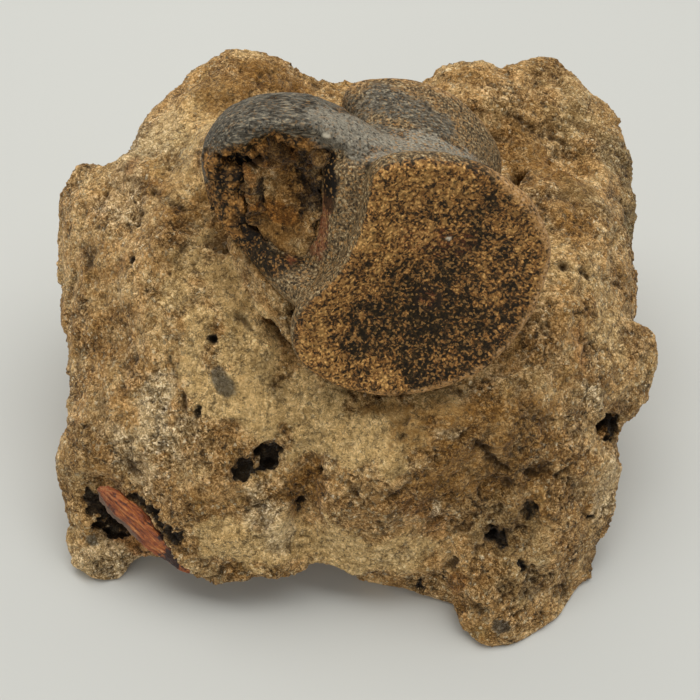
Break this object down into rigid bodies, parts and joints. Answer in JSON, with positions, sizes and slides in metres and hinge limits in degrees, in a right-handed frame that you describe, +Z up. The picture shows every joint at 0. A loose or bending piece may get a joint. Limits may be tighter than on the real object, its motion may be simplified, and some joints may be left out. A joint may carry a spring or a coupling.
{
  "type": "fossil dinosaur vertebra in sandstone matrix",
  "caption": "Loose block of rough sandstone with a dark, spool-shaped fossil vertebra lying tilted in its top and a small splinter of bone in one corner.",
  "frame": {"origin": "middle of the bounding box's bottom face: the point under the block's middle on the surface it rests on", "axes": "+X to the right and +Y to the back as seen from the side that the nearer end face of the bone looks to, +Z up; +X is the longest extent and +Z the shortest"},
  "size_m": [0.1628, 0.1454, 0.1182],
  "materials": {
    "sandstone": "rough, sandy, broken",
    "fossil_bone": "satin, finely pitted",
    "red_bone": "grooved, satin"
  },
  "bodies": {
    "root": {"matrix_block": "sandstone", "vertebra": "fossil_bone", "bone_splinter": "red_bone"}
  },
  "joints": []
}
